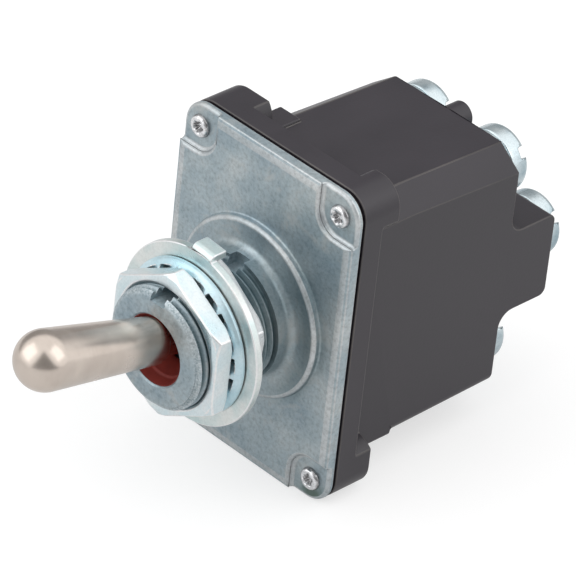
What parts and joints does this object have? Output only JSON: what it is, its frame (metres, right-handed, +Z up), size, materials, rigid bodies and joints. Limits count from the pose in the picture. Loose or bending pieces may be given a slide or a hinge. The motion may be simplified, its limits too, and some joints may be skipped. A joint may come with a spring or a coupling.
{
  "type": "panel toggle switch",
  "caption": "Sealed toggle switch for a panel: tilting bat lever in a threaded bushing, cast cover, moulded housing with screw terminals, and rocking contacts inside.",
  "frame": {"origin": "on the bushing's axis, in the front face of the round seat that bears on the panel", "axes": "-Y along the bushing, out of the panel's front; +Y towards the terminals; +Z up, the side of the bushing's keyway; +X to the right seen from the front"},
  "size_m": [0.0228, 0.0611, 0.0336],
  "materials": {
    "cover_casting": "dull zinc on a die casting, mottled",
    "housing_resin": "satin moulded resin, dark grey-brown",
    "gasket_rubber": "thin black rubber sheet",
    "front_nut_plate": "bright zinc plating",
    "rear_nut_plate": "bright zinc plating",
    "lock_washer_plate": "zinc plating on spring steel",
    "locking_ring_plate": "zinc plating",
    "lever_nickel": "satin nickel plating on brass, turned",
    "pin_steel": "ground steel",
    "seal_rubber": "dark red silicone rubber",
    "carrier_resin": "moulded resin",
    "rivet_plate": "zinc plating",
    "plunger_resin": "smooth nylon",
    "spring_steel": "music wire",
    "rocker_brass": "formed sheet",
    "terminal_brass": "machined",
    "contact_silver": "fine silver",
    "screw_plate": "zinc plating",
    "washer_plate": "zinc plating"
  },
  "bodies": {
    "root": {"cover_and_bushing": "cover_casting", "housing": "housing_resin", "gasket": "gasket_rubber", "front_nut": "front_nut_plate", "tooth_lock_washer": "lock_washer_plate", "locking_ring": "locking_ring_plate", "rear_nut": "rear_nut_plate", "pivot_pin": "pin_steel", "lever_seal": "seal_rubber", "rivet_top_left": "rivet_plate", "rivet_top_right": "rivet_plate", "rivet_bottom_left": "rivet_plate", "rivet_bottom_right": "rivet_plate", "common_terminal_left": "terminal_brass", "fixed_contact_top_left": "contact_silver", "end_terminal_top_left": "terminal_brass", "fixed_contact_bottom_left": "contact_silver", "end_terminal_bottom_left": "terminal_brass", "terminal_screw_top_left": "screw_plate", "screw_washer_top_left": "washer_plate", "terminal_screw_middle_left": "screw_plate", "screw_washer_middle_left": "washer_plate", "terminal_screw_bottom_left": "screw_plate", "screw_washer_bottom_left": "washer_plate", "common_terminal_right": "terminal_brass", "fixed_contact_top_right": "contact_silver", "end_terminal_top_right": "terminal_brass", "fixed_contact_bottom_right": "contact_silver", "end_terminal_bottom_right": "terminal_brass", "terminal_screw_top_right": "screw_plate", "screw_washer_top_right": "washer_plate", "terminal_screw_middle_right": "screw_plate", "screw_washer_middle_right": "washer_plate", "terminal_screw_bottom_right": "screw_plate", "screw_washer_bottom_right": "washer_plate"},
    "lever_assembly": {"lever": "lever_nickel", "carrier": "carrier_resin", "plunger_spring_left": "spring_steel", "plunger_spring_right": "spring_steel"},
    "plunger_left_body": {"plunger_left": "plunger_resin"},
    "rocker_left_assembly": {"rocker_left": "rocker_brass", "moving_contact_top_left": "contact_silver", "moving_contact_bottom_left": "contact_silver"},
    "plunger_right_body": {"plunger_right": "plunger_resin"},
    "rocker_right_assembly": {"rocker_right": "rocker_brass", "moving_contact_top_right": "contact_silver", "moving_contact_bottom_right": "contact_silver"}
  },
  "joints": [
    {"name": "lever_throw", "type": "hinge", "parent": "root", "child": "lever_assembly", "pos_m": [0, -0.007, 0], "axis": [1, 0, 0], "range_deg": [0, 28.2]},
    {"name": "plunger_travel_left", "type": "slide", "parent": "lever_assembly", "child": "plunger_left_body", "axis": [0, -0.9699, 0.2436], "range_m": [0, 0.0005], "stiffness_N_per_m": 200, "springref_m": -0.002, "deforming": ["plunger_spring_left"]},
    {"name": "plunger_travel_right", "type": "slide", "parent": "lever_assembly", "child": "plunger_right_body", "axis": [0, -0.9699, 0.2436], "range_m": [0, 0.0005], "stiffness_N_per_m": 200, "springref_m": -0.002, "deforming": ["plunger_spring_right"]},
    {"name": "rocker_tilt_left", "type": "hinge", "parent": "root", "child": "rocker_left_assembly", "pos_m": [-0.00476, 0.01094, 0], "axis": [1, 0, 0], "range_deg": [-14, 0]},
    {"name": "rocker_tilt_right", "type": "hinge", "parent": "root", "child": "rocker_right_assembly", "pos_m": [0.00476, 0.01094, 0], "axis": [1, 0, 0], "range_deg": [-14, 0]}
  ],
  "couplings": [
    {"joint": "rocker_tilt_left", "follows": "lever_throw", "ratio": -0.49645},
    {"joint": "rocker_tilt_right", "follows": "lever_throw", "ratio": -0.49645}
  ]
}
